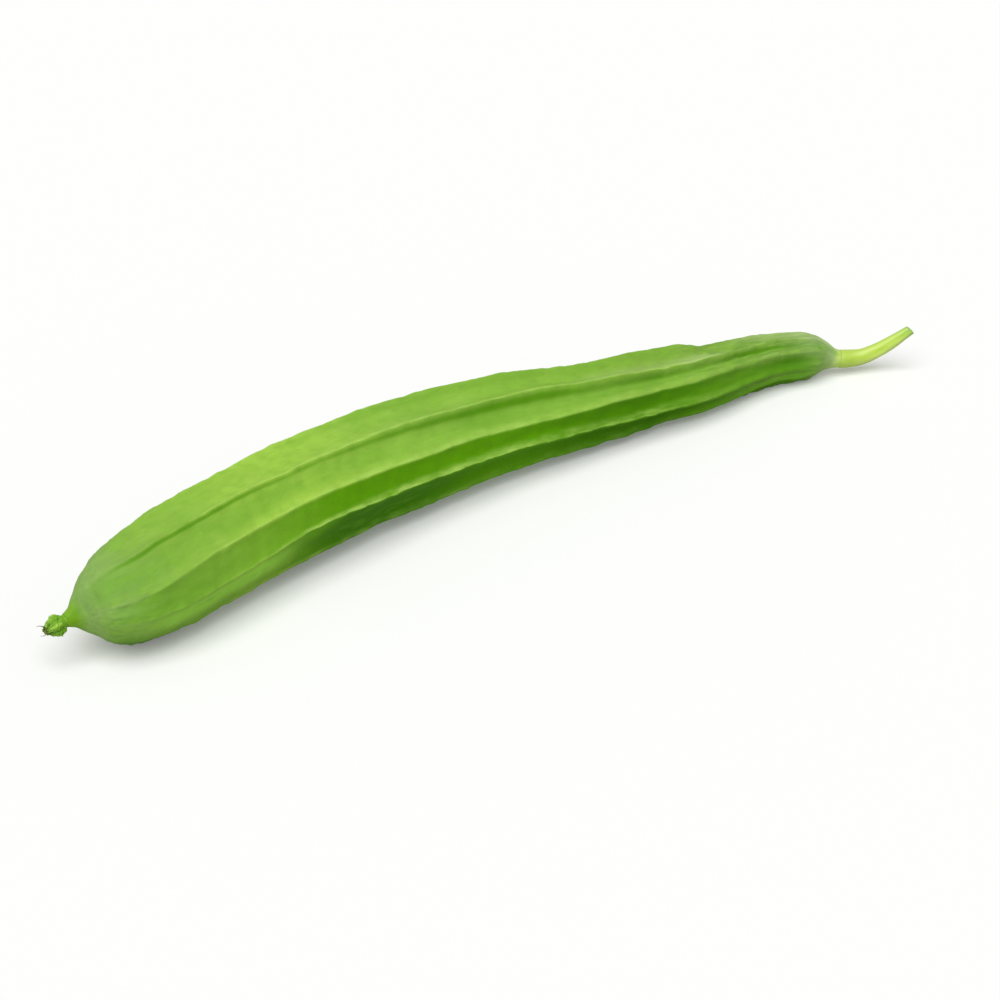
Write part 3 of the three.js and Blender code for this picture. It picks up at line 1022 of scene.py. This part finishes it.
@dataclass
class Fruit(SubAssembly):
    """The ten-ridged fruit.

    Its section is a ring of flat panels, the chords from ridge to ridge, let down by the keel's
    height except close to the ridges. Seeded ripples bend the ridges, notch their crests and
    dent the panels.
    """

    # x, y, z and the radius over the ridges, from the blossom end to the stalk.
    stations: Stations = (
        (-208, -9.2, 19.6, 2.6), (-204.5, -9.2, 19.8, 4.4), (-200.5, -9.1, 20, 8.5),
        (-196, -9.6, 20.7, 13.5), (-190, -10.6, 21.5, 17.8), (-181, -10.7, 22.2, 21),
        (-169, -8.4, 22.8, 23.1), (-151, -4, 23.4, 24.3), (-121, 2.2, 23.8, 24.7),
        (-81, 7.9, 23.9, 24.9), (-31, 11.4, 23.05, 23.9), (19, 9.7, 20.75, 21.4),
        (54, 5.2, 18.7, 19), (84, 2.4, 17.5, 17.7), (109, -1.5, 16.2, 16.5),
        (134, -2.1, 13.1, 13.5), (157, -3.7, 11.9, 12.1), (169, -7.3, 11.3, 11.4),
        (176, -10.1, 11.1, 10.4), (181.5, -12.4, 10.1, 7.6), (187, -15.4, 8.4, 4.6),
        (189.5, -17, 8, 4),
    )
    ridges: tuple[Ridge, ...] = (  # in order round the fruit, numbered from 0
        Ridge(-18), Ridge(18), Ridge(54), Ridge(90), Ridge(125),
        Ridge(161, LEAN_BACK, notch=0.4),
        Ridge(205.5, LEAN_TOP, full_from=26, pale=1.0, foot=1.0),
        Ridge(241, LEAN_SIDE, sharp=0.35, pale=0.7, foot=0.15),
        Ridge(267.5, LEAN_LOW, sharp=0.5, full_from=80, pale=0.9, foot=0.08),
        Ridge(306, full_from=75, notch=0.4),
    )
    twist: Table = (  # how far the ridges have turned, in degrees, at shares of the length
        (0, -3), (0.15, -1), (0.27, -1.5), (0.42, 2), (0.6, 4.3), (0.66, 5.5), (0.72, 8.5),
        (0.78, 7.5), (0.84, -1), (0.9, -6), (1, -6),
    )
    # At shares of the length: how far a ridge stands proud of its panels, the width of its flank,
    # how blunt its crest is, and how far a panel's middle sinks.
    keel: Table = ((0, 0.8), (0.3, 1), (0.45, 1.6), (0.6, 1.9), (1, 1.7))
    flank: Table = ((0, 0.9), (0.3, 1.1), (0.45, 1.9), (0.6, 2.4), (1, 2.4))
    rounding: Table = ((0, 0.3), (0.6, 0.3), (0.68, 0.45), (0.76, 0.8), (0.87, 1.4), (1, 1.6))
    hollow: Table = ((0, 0.1), (0.3, 0.3), (0.45, 0.9), (0.6, 1.1), (0.9, 0.9), (1, 0.7))
    # Swellings and dents, each by its share of the length, angle, height and size.
    lumps: Stations = ((0.775, 158, 0.7, 9), (0.815, 158, -0.6, 7))
    neck: Span = (6, 30)  # where the ridges start and where they are full, from the blossom end
    shoulder: Span = (9, 30)  # where the ridges end and where they are full, from the stalk
    wander: Ripplings = ((0, 0.15, 60), (100, 0.07, 17))  # how each ridge bends
    notches: Ripplings = ((200, 0.06, 4.5), (300, 0.1, 13))  # how each crest is notched
    colours: RindColours = RindColours()  # where the rind's colour changes
    rows: int = 480  # rings along the fruit
    panel_sides: int = 20  # points across a panel
    crowding: float = 0.7  # how much they crowd towards the ridges
    seed: int = 11  # picks all the ripples

    def build(self) -> list[Piece]:
        """Makes the rind.

        Returns:
            The one piece.
        """
        line = Midline(self.stations)
        length = line.length()
        share = np.linspace(0, 1, self.rows)
        # Three quarters even and one quarter cosine spacing crowds the rings at both ends.
        s = length * (0.75 * share + 0.125 * (1 - np.cos(math.pi * share)))
        sections = line.sections(s)
        skin = self._panels(s, length, sections.radius)
        fade = smoothstep(skin.s, *self.neck) * smoothstep(length - skin.s, *self.shoulder)
        edge = np.minimum(skin.from_ridge / (skin.gap * skin.reach), 0.5)
        # A flat panel: the half gap's cosine over the cosine of the angle off its middle.
        chord = np.cos(skin.gap / 2) / np.cos((0.5 - edge) * skin.gap)
        tables = (self.keel, self.flank, self.hollow)
        keel, flank, hollow = (share_at(table, skin.along[:, 0]) for table in tables)
        radius = skin.reach * (1 + fade * (chord - 1))
        radius -= fade * skin.sharp * keel * (1 - np.exp(-skin.from_ridge / flank))
        # The panel past ridge 7 is flatter than the others.
        flatter = 1 - 0.6 * band(skin.number, (7.0, 7.1), (7.9, 8.0))
        radius -= fade * hollow * flatter * np.sin(math.pi * edge) ** 2
        radius += self._growth(skin, fade)
        rings = sections.points(radius, skin.angle)
        rings[..., 2] = np.maximum(rings[..., 2], 0)
        values = self.colours.values(skin, flank, self.ridges)
        # The crests' painted highlight and the painted shade at the keels' feet fade out with the
        # ridges.
        values["crest"] *= fade
        values["foot"] *= fade * skin.sharp
        values["grain"] = round_axis(skin.s, radius, skin.grown) * METRES
        return [make_object("fruit_rind", [Shell.of_rings(rings, values)])]

    def _panels(self, s: Array, length: float, reach: Array) -> Skin:
        """Lays the points of every ring out between the ridges.

        Each ridge leans as its table says and wanders a little to its sides. A panel's points
        crowd towards its ridges: a share u of the way becomes u less crowding of
        sin(2 pi u) / (2 pi).

        Args:
            s: Distances of the rings along the fruit.
            length: The length of the fruit.
            reach: The rings' radii over the ridges.

        Returns:
            Where the points lie.
        """
        count, each = len(self.ridges), self.panel_sides
        along = s / length
        wander = self._ripples(self.wander, s)
        rest, keel, full_from = np.array([(r.angle, r.sharp, r.full_from) for r in self.ridges]).T
        leaning = np.stack([table_at(r.lean, along) for r in self.ridges], axis=1)
        straight = np.radians(rest + leaning) + wander / np.maximum(reach, 8)[:, None]
        following = np.roll(straight, -1, axis=1)
        following[:, -1] += FULL_TURN
        gap = following - straight
        u = np.arange(each) / each
        t = u - self.crowding * np.sin(FULL_TURN * u) / FULL_TURN
        grown = (straight[..., None] + gap[..., None] * t).reshape(len(s), -1)
        gaps = np.repeat(gap, each, axis=1)
        arc = np.tile(np.minimum(t, 1 - t), count) * gaps * reach[:, None]
        half = 0.5 * gaps * reach[:, None]
        blunt = table_at(self.rounding, along)[:, None]
        from_ridge = half * (np.hypot(arc, blunt) - blunt) / (np.hypot(half, blunt) - blunt)
        full = keel * smoothstep(s[:, None] / full_from, 0.2, 1.0)
        blend = smoothstep(t, 0.2, 0.8)
        sharp = full[..., None] * (1 - blend) + np.roll(full, -1, axis=1)[..., None] * blend
        return Skin(
            s=s[:, None],
            along=along[:, None],
            reach=reach[:, None],
            angle=grown + np.radians(table_at(self.twist, along))[:, None],
            grown=grown,
            number=np.arange(count).repeat(each) + np.tile(t, count) + np.zeros_like(grown),
            from_ridge=from_ridge,
            gap=gaps,
            after=np.tile(np.where(t < 0.5, 1.0, -1.0), count),
            sharp=sharp.reshape(len(s), -1),
            owner=(np.arange(count * each) + each // 2) // each % count,
        )

    def _ripples(self, kinds: Ripplings, s: Array) -> Array:
        """Sums each ridge's own ripples of every kind.

        Args:
            kinds: The kinds of ripples.
            s: Distances of the rings along the fruit.

        Returns:
            One column for each ridge.
        """
        ridges = range(len(self.ridges))
        return sum(
            height
            * np.stack([Ripples(self.seed + first + k, size).along(s) for k in ridges], axis=1)
            for first, height, size in kinds
        )

    def _growth(self, skin: Skin, fade: Array) -> Array:
        """The uneven growth of the rind: notched crests, dented panels, and ribs near the stalk.

        Args:
            skin: Where the points lie.
            fade: How full the ridges are at each ring.

        Returns:
            What is added to every point's radius.
        """
        s, grown = skin.s, skin.grown
        notches = self._ripples(self.notches, s[:, 0]) * [ridge.notch for ridge in self.ridges]
        crest = notches[:, skin.owner] * np.exp(-skin.from_ridge / 1.3) * fade
        nose = band(s, rise=(5, 12), fall=(16, 46))
        body = smoothstep(s, 6, 22) * smoothstep(s[-1] - s, 4, 20)
        late = smoothstep(skin.along, 0.6, 0.85)
        broad = 0.26 * Ripples(self.seed + 400, 26).over(s, grown, radius=22, stretch=1.6)
        dents = 0.11 * Ripples(self.seed + 401, 8).over(s, grown, radius=22, stretch=1.5)
        pebbles = 0.08 * Ripples(self.seed + 402, 3.4, 24).over(s, grown, radius=16)
        ribs = 0.14 * Ripples(self.seed + 404, 3.8, 24).over(s, grown, radius=14, stretch=22)
        lumps = 0.0
        for share, bearing, height, size in self.lumps:
            # The angle off the lump's bearing, brought within half a turn.
            turn = np.angle(np.exp(1j * (grown - math.radians(bearing))))
            off = (skin.along - share) * s[-1] / size
            lumps = lumps + height * np.exp(-(off**2)) * np.exp(-((turn / 0.35) ** 2))
        return crest + body * (broad + dents) + nose * pebbles + late * ribs * body + lumps

    def dress(self, pieces: list[Piece]) -> None:
        """Finishes the rind."""
        fix_to_frame(pieces[0], WaxyRind().material(), "fruit")


@dataclass
class Stalk(SubAssembly):
    """The cut stalk, a five-fluted rod that starts inside the fruit's shoulder."""

    stations: Stations = (  # the first is inside the fruit
        (188.2, -16.2, 8.2, 3.8), (189.7, -17.1, 7.9, 4.1), (194, -19, 7.5, 4.1),
        (199, -21.3, 7.7, 3.85), (205, -24.4, 10, 3.6), (211, -28, 14, 3.1),
        (218.5, -32.6, 20.3, 2.4),
    )
    flutes: int = 5  # how many grooves run along it
    flute_depth: float = 0.28  # how deep they are
    # The cut end as (forward, share of the radius) rings: a rounded rim, then the face.
    cut: Table = (
        (0.0, 1.0), (0.12, 0.985), (0.2, 0.94), (0.22, 0.86), (0.08, 0.78), (0.02, 0.6),
        (0.06, 0.4), (0.0, 0.2),
    )
    slant: float = 0.25  # how far the cut leans back at its top, as a share of the radius
    rim: float = 0.4  # how far before the end its side stops, in millimetres
    face: float = 0.25  # and where the cut's rings start
    spiral: float = 0.25  # how far the flutes turn along it, in radians
    rows: int = 150  # rings along it
    sides: int = 60  # points round it
    seed: int = 41  # picks the ripples

    def build(self) -> list[Piece]:
        """Makes the stalk: its side, then the rings of its cut end.

        Returns:
            The one piece.
        """
        line = Midline(self.stations)
        length = line.length()
        end = np.array(self.cut)
        side = np.linspace(0, length - self.rim, self.rows)
        s = np.concatenate([side, np.full(len(end), length - self.face)])
        forward = np.concatenate([0 * side, end[:, 0]])
        shrink = np.concatenate([0 * side + 1, end[:, 1]])
        sections = line.sections(s)
        angle = np.arange(self.sides)[None, :] * FULL_TURN / self.sides
        grown = angle + self.spiral * (s / length)[:, None]
        flute = (1 + np.cos(self.flutes * grown)) / 2
        fullness = smoothstep(s, 2, 12)[:, None]
        wave = 0.07 * Ripples(self.seed, 5).over(s[:, None], angle, radius=3.5, stretch=3.0)
        radius = sections.radius[:, None] + wave - self.flute_depth * (1 - flute) * fullness
        radius = radius * shrink[:, None]
        rings = sections.points(radius, angle)
        lean = smoothstep(s, length - 6, length)[:, None] * self.slant * radius * np.cos(angle)
        rings += (forward[:, None] + lean)[..., None] * sections.tangent[:, None, :]
        values = {
            "along": (s / length)[:, None],
            "crest": flute * fullness,
            "cut": smoothstep(1 - shrink, 0.02, 0.12)[:, None],
            "grain": round_axis(s[:, None], radius, angle) * METRES,
        }
        return [make_object("stem_stalk", [Shell.of_rings(rings, values)])]

    def dress(self, pieces: list[Piece]) -> None:
        """Finishes the stalk."""
        fix_to_frame(pieces[0], FreshStalk().material(), "stem")


def from_knob(points: Array, drop: float = 0.16) -> Array:
    """Brings points from the knob's own frame at the blossom end to the CAD frame.

    Its x runs out of the fruit's neck and a little down, its y to the side, and its z up.

    Args:
        points: The points, in millimetres, along their last axis.
        drop: How far x leans down.

    Returns:
        The same points in the CAD frame.
    """
    neck = Midline(Fruit().stations).sections(np.zeros(1))
    out = unit(-neck.tangent[0] - drop * UP)
    side = unit(np.cross(UP, out))
    return neck.centre[0] + points @ np.stack([out, side, np.cross(out, side)])


@dataclass
class Calyx(SubAssembly):
    """Five thick, shrivelled sepals that close round the withered flower.

    Each is a strip of shell: it bulges out of the neck, draws in over the flower and narrows. It
    thins towards its edges, which tuck in, and ripples crumple it.
    """

    lengths: tuple[float, ...] = (7.8, 7, 8.1, 7.4, 6.8)  # each sepal's length
    spread: float = 78  # the angle that one covers at its base, in degrees
    thickness: float = 1.0  # its thickness along its middle
    start: float = -0.3  # where it starts, on the neck
    neck: float = 2.5  # its distance from the knob's axis there
    bulge: float = 1.85  # how far it swells out from there
    narrowing: float = 1.2  # how far its tip draws in
    sag: float = 0.95  # how far its edges lie in from its middle
    rows: int = 44  # rings along a sepal
    sides: int = 18  # points across it, on each face
    seed: int = 71  # picks the ripples

    def build(self) -> list[Piece]:
        """Makes one piece for each sepal."""
        return [self._sepal(index, length) for index, length in enumerate(self.lengths)]

    def _sepal(self, index: int, length: float) -> Piece:
        """Makes one sepal.

        Args:
            index: Which one, from 0.
            length: How far it reaches out of the neck.

        Returns:
            The piece.
        """
        middle = FULL_TURN * (index + 0.5) / len(self.lengths)
        t = np.linspace(0, 1, self.rows)[:, None]
        half = np.linspace(-1, 1, self.sides)
        share = np.concatenate([half, half[::-1]])[None, :]
        inside = np.repeat([0.0, 1.0], self.sides)[None, :]
        x = self.start + (length + 0.5 - self.start) * t
        reach = np.clip((x - 0.5) / length, 0, 1)
        outer = self.neck + self.bulge * np.sin(math.pi * 0.95 * reach) - self.narrowing * reach**3
        width = np.radians(self.spread / 2) * (1 - 0.25 * reach**3)
        crumple = Ripples(self.seed + index, 2.2).over(4 * x, 6 * width * share, radius=1)
        fold = Ripples(self.seed + 20 + index, 3.0).along(x[:, 0])[:, None]
        swell = smoothstep(reach, 0, 0.25)
        outer = outer + swell * (0.2 * crumple + 0.16 * fold - self.sag * share**2 + 0.2)
        wall = self.thickness * (1 - 0.45 * reach) * (1 - 0.7 * np.abs(share) ** 3)
        radius = outer - inside * wall
        ragged = 0.5 * Ripples(self.seed + 40 + index, 0.9).along(share[0])[None, :]
        out = x + smoothstep(t, 0.75, 1.0) * ragged
        turn = middle + width * share + 0.1 * reach * fold
        points = round_axis(out, radius, turn)
        # The sepals' painted highlight on their bulges, and their painted shade in the folds and
        # on the inner faces.
        values = {
            "along": t,
            "crest": np.exp(-((share / 0.35) ** 2)) * smoothstep(t, 0.1, 0.4) * (1 - inside),
            "edge": np.maximum(np.abs(share) ** 4, inside) * smoothstep(t, 0.15, 0.5),
        }
        shell = Shell.of_rings(from_knob(points), values)
        return make_object(f"sepal_lobe_{index + 1}", [shell])

    def dress(self, pieces: list[Piece]) -> None:
        """Finishes every sepal with one material.

        Args:
            pieces: The sepals, in order.
        """
        finish = DrySepal().material()
        for index, piece in enumerate(pieces):
            fix_to_frame(piece, finish, f"sepal_{index + 1}")


@dataclass
class WitheredFlower(SubAssembly):
    """The crumpled rest of the flower inside the sepals, with two dry threads."""

    length: float = 8.8  # the length of the crumpled middle
    radius: float = 1.05  # its usual radius
    crumpling: float = 0.22  # how crumpled it is, as a share of the radius
    threads: tuple[tuple[Point, ...], ...] = (  # the paths of the threads, in the knob's frame
        ((8, -0.3, 0.6), (8.7, -0.5, 2.5), (10, -0.2, 4), (11.2, 0.5, 4.9)),
        ((8.2, -0.2, -0.6), (8.8, -1.8, -2.6), (9.3, -2.6, -3), (10, -3.1, -2.8)),
    )
    # A thread's radius at shares of its length.
    thread_radii: Table = ((0, 0.2), (0.5, 0.14), (1, 0.07))
    rows: int = 40  # rings along the middle
    sides: int = 24  # points round it
    seed: int = 151  # picks the ripples

    def build(self) -> list[Piece]:
        """Makes the crumpled middle and the threads as one piece.

        Returns:
            The one piece.
        """
        t = np.linspace(0, 1, self.rows)[:, None]
        angle = np.arange(self.sides)[None, :] * FULL_TURN / self.sides
        x = 0.4 + self.length * t
        plump = self.radius * (0.75 + 0.45 * np.sin(math.pi * t) - 0.35 * t)
        crumple = Ripples(self.seed, 1.6, 18).over(x, angle, radius=1)
        radius = plump * (1 + self.crumpling * crumple * smoothstep(t, 0, 0.3))
        points = round_axis(x, radius, angle)
        shells = [Shell.of_rings(points, {"along": t})]
        for index, path in enumerate(self.threads):
            shells.append(tube_shell(path, self.thread_radii, 10, 36, self.seed + 1 + index))
        placed = [replace(shell, points=from_knob(shell.points)) for shell in shells]
        return [make_object("dried_flower", placed)]

    def dress(self, pieces: list[Piece]) -> None:
        """Finishes the flower."""
        fix_to_frame(pieces[0], WitheredPetal().material(), "withered_flower")


# --- Studio ---


@dataclass
class Studio:
    """A white floor under one broad lamp and an even sky, with the camera."""

    aim: Point = (-0.0054, -0.0131, 0.0006)  # what the camera looks at, in metres
    azimuth: float = 37.3  # where the camera looks, in degrees from +Y towards +X
    elevation: float = 31.0  # how far down it looks, in degrees
    distance: float = 1.0  # how far from the aim it stands, in metres
    lens: float = 85.0  # its lens, in millimetres, on a sensor 36 wide
    lamp_azimuth: float = 50.0  # where the lamp shines to, in degrees from +Y towards +X
    lamp_elevation: float = 62.0  # how far down it shines, in degrees
    lamp_strength: float = 2.6  # its strength
    lamp_width: float = 60.0  # how wide it looks from the gourd, in degrees
    sky: float = 0.3  # the even light from all round
    floor_width: float = 8.0  # the floor's width, in metres
    floor_bounce: str = "#d2d2ce"  # the floor's colour for light that it throws back at the gourd
    floor_seen: str = "#fcfcfb"  # its colour as the camera sees it
    floor_fill: float = 0.18  # how much of that the camera sees even in the deepest shadow

    def build(self) -> None:
        """Sets up the camera, the lamp, the sky and the floor."""
        self._camera()
        self._lamp()
        self._sky()
        self._floor()
        bpy.context.scene.view_settings.view_transform = "Standard"

    @staticmethod
    def _heading(azimuth: float, elevation: float) -> Vector:
        """Finds a direction.

        Args:
            azimuth: How far it is turned from +Y towards +X, in degrees.
            elevation: How far down it points, in degrees.

        Returns:
            The direction, with a length of one.
        """
        turn, dip = math.radians(azimuth), math.radians(elevation)
        level = math.cos(dip)
        return Vector((math.sin(turn) * level, math.cos(turn) * level, -math.sin(dip)))

    def _camera(self) -> None:
        """Stands the camera back from its aim, level."""
        data = bpy.data.cameras.new("camera")
        data.lens = self.lens
        camera = add_object("camera", data)
        heading = self._heading(self.azimuth, self.elevation)
        camera.location = Vector(self.aim) - heading * self.distance
        camera.rotation_euler = heading.to_track_quat("-Z", "Y").to_euler()
        bpy.context.scene.camera = camera

    def _lamp(self) -> None:
        """Adds one broad lamp whose light is even over the floor."""
        data = bpy.data.lights.new("broad_lamp", "SUN")
        data.energy = self.lamp_strength
        data.angle = math.radians(self.lamp_width)
        lamp = add_object("broad_lamp", data)
        heading = self._heading(self.lamp_azimuth, self.lamp_elevation)
        lamp.rotation_euler = heading.to_track_quat("-Z", "Y").to_euler()

    def _sky(self) -> None:
        """An even sky that the camera, gloss and clear things see as white."""
        world = bpy.data.worlds.new("even_sky")
        tree = empty_tree(world)
        path = add_node(tree, "LightPath")
        seen = path.outputs["Is Camera Ray"]
        for name in ("Is Glossy Ray", "Is Transmission Ray"):
            either = {0: seen, 1: path.outputs[name]}
            seen = add_node(tree, "Math", either, operation="MAXIMUM")
        strength = add_node(tree, "MapRange", {"Value": seen, "To Min": self.sky, "To Max": 1.0})
        white = {"Color": linear("#ffffff"), "Strength": strength}
        add_node(tree, "OutputWorld", {"Surface": add_node(tree, "Background", white)})
        bpy.context.scene.world = world

    def _floor(self) -> None:
        """A matt white floor that keeps the gourd's shadow."""
        half = self.floor_width / 2
        corners = [(-half, -half, 0), (half, -half, 0), (half, half, 0), (-half, half, 0)]
        mesh = bpy.data.meshes.new("floor")
        mesh.from_pydata(corners, [], [(0, 1, 2, 3)])
        paint = bpy.data.materials.new("matt_white_floor")
        tree = empty_tree(paint)
        seen = add_node(tree, "LightPath").outputs["Is Camera Ray"]
        bounce, white = linear(self.floor_bounce), linear(self.floor_seen)
        colours = {MIX_SHARE: seen, MIX_FIRST: bounce, MIX_SECOND: white}
        mix = add_node(tree, "Mix", colours, data_type="RGBA")
        matt = add_node(tree, "BsdfDiffuse", {"Color": mix.outputs[MIX_RESULT]})
        fill = add_node(tree, "Emission", {"Color": white})
        share = add_node(tree, "Math", {0: seen, 1: self.floor_fill}, operation="MULTIPLY")
        both = add_node(tree, "MixShader", {0: share, 1: matt, 2: fill})
        add_node(tree, "OutputMaterial", {"Surface": both})
        mesh.materials.append(paint)
        floor = add_object("floor", mesh)


def main() -> None:
    """Sets up the studio, then builds and dresses the gourd's parts in order."""
    logging.basicConfig(level=logging.INFO, format="%(name)s %(message)s")
    Studio().build()
    for part in (Fruit(), Stalk(), Calyx(), WitheredFlower()):
        pieces = part.build()
        part.dress(pieces)


if __name__ == "__main__":
    main()
